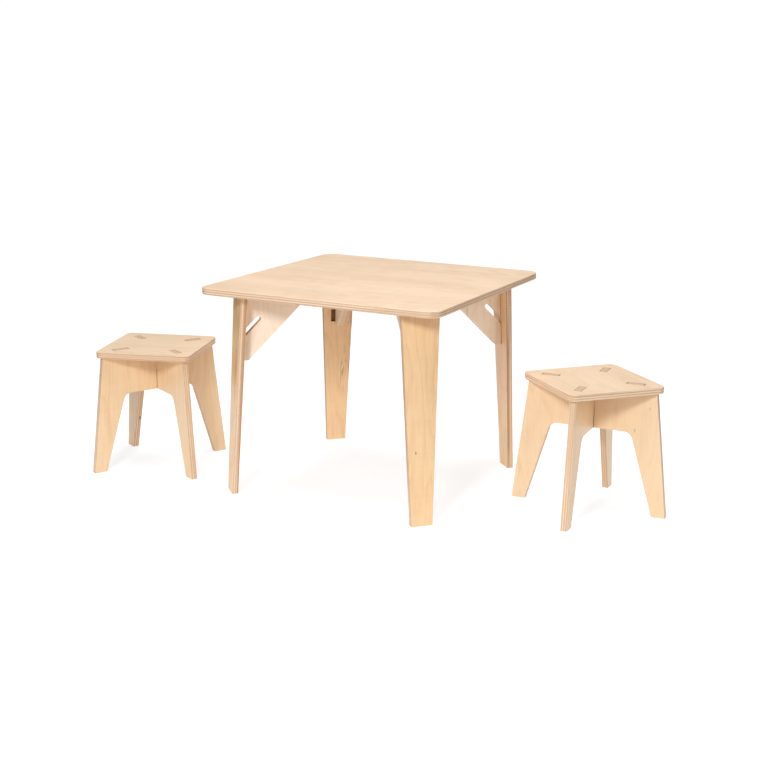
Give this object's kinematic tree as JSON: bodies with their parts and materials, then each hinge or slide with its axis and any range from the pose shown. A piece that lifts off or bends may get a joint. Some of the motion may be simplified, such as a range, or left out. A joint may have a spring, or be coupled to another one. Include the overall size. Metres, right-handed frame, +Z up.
{
  "type": "kids table and stools",
  "caption": "Low square plywood play table on leaning tapered legs with slotted corner braces, and a pair of square stools on crossed arched panels.",
  "frame": {"origin": "centre of the table on the floor, within a few millimetres of the middle of the whole set's footprint", "axes": "+X and +Y run along the sides of the table top, +Z up; the stools stand to the left (-X) and to the right (+X)"},
  "size_m": [1.4408, 0.6126, 0.5],
  "materials": {
    "top_ply": "clear satin lacquer on birch plywood",
    "leg_ply": "clear satin lacquer on birch plywood",
    "gusset_ply": "clear satin lacquer on birch plywood",
    "seat_ply": "clear satin lacquer on birch plywood",
    "panel_ply": "clear satin lacquer on birch plywood"
  },
  "bodies": {
    "table": {"table_top": "top_ply", "leg_front_left": "leg_ply", "leg_front_right": "leg_ply", "leg_back_right": "leg_ply", "leg_back_left": "leg_ply", "gusset_front_left": "gusset_ply", "gusset_front_right": "gusset_ply", "gusset_back_right": "gusset_ply", "gusset_back_left": "gusset_ply"},
    "left_stool": {"left_stool_seat": "seat_ply", "left_stool_lower_panel": "panel_ply", "left_stool_upper_panel": "panel_ply"},
    "right_stool": {"right_stool_seat": "seat_ply", "right_stool_lower_panel": "panel_ply", "right_stool_upper_panel": "panel_ply"}
  },
  "joints": [
    {"name": "left_stool_tuck", "type": "slide", "parent": "table", "child": "left_stool", "axis": [0.9689, 0.2475, 0], "range_m": [-0.15, 0.35]},
    {"name": "right_stool_tuck", "type": "slide", "parent": "table", "child": "right_stool", "axis": [-0.9961, -0.0885, 0], "range_m": [-0.15, 0.34]}
  ]
}
